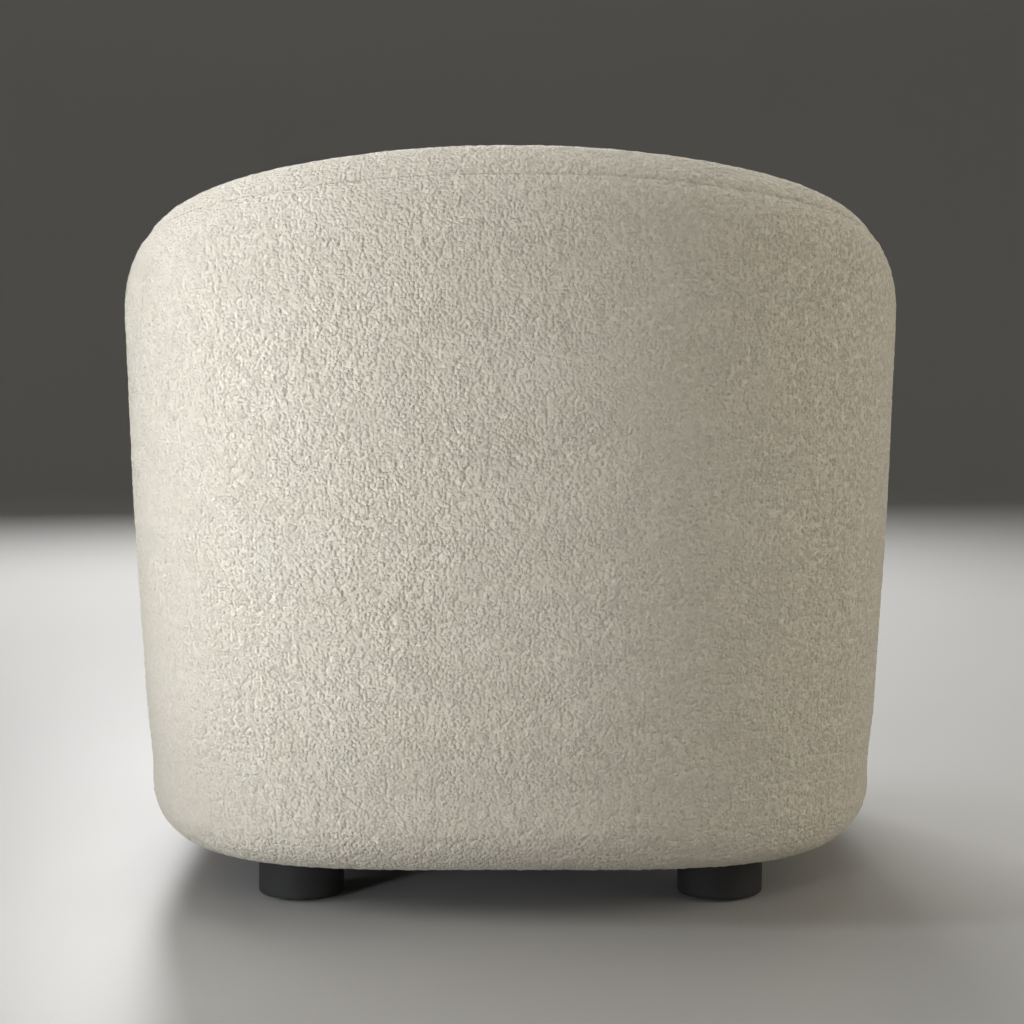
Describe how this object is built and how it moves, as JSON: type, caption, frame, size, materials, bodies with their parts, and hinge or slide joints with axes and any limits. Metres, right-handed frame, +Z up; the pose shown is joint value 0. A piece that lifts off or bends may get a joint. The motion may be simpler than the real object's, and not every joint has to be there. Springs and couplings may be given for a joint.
{
  "type": "tub chair",
  "caption": "Low upholstered tub chair: a padded boucle shell sweeps round back and arms over a plywood frame, with a loose lift-out seat cushion and round feet.",
  "frame": {"origin": "on the floor under the middle of the chair's outline", "axes": "+Z up; the chair faces -Y, its back is at +Y, and the sitter's left is +X"},
  "size_m": [0.751, 0.74, 0.71],
  "materials": {
    "boucle": "matte",
    "foam": "matte",
    "wadding": "matte",
    "plywood": "matte",
    "webbing": "matte",
    "lining": "matte",
    "foot_black": "matte",
    "glide_grey": "matte",
    "steel": "satin"
  },
  "bodies": {
    "chair": {"outside_cover": "boucle", "inside_cover": "boucle", "nose_cover_left": "boucle", "nose_cover_right": "boucle", "front_cover": "boucle", "inside_foam": "foam", "rim_foam": "foam", "nose_foam_left": "foam", "nose_foam_right": "foam", "front_foam": "foam", "outside_wadding": "wadding", "outer_board": "plywood", "inner_board": "plywood", "top_rail": "plywood", "base_board": "plywood", "front_board": "plywood", "seat_ring": "plywood", "arm_panel_left": "plywood", "arm_panel_right": "plywood", "rib_1": "plywood", "rib_2": "plywood", "rib_3": "plywood", "rib_4": "plywood", "rib_5": "plywood", "rib_6": "plywood", "rib_7": "plywood", "rib_8": "plywood", "rib_9": "plywood", "strap_long_1": "webbing", "strap_long_2": "webbing", "strap_long_3": "webbing", "strap_long_4": "webbing", "strap_cross_1": "webbing", "strap_cross_2": "webbing", "strap_cross_3": "webbing", "strap_cross_4": "webbing", "deck_cloth": "lining", "dust_cover": "lining", "foot_1": "foot_black", "foot_2": "foot_black", "foot_3": "foot_black", "foot_4": "foot_black", "glide_1": "glide_grey", "glide_2": "glide_grey", "glide_3": "glide_grey", "glide_4": "glide_grey", "foot_studs": "steel", "foot_nuts": "steel", "base_screws": "steel"},
    "seat_cushion": {"cushion_top": "boucle", "cushion_boxing": "boucle", "cushion_bottom": "lining", "cushion_core": "foam"}
  },
  "joints": [
    {"name": "cushion_lift", "type": "slide", "parent": "chair", "child": "seat_cushion", "axis": [0, 0, 1], "range_m": [0, 0.45]}
  ]
}
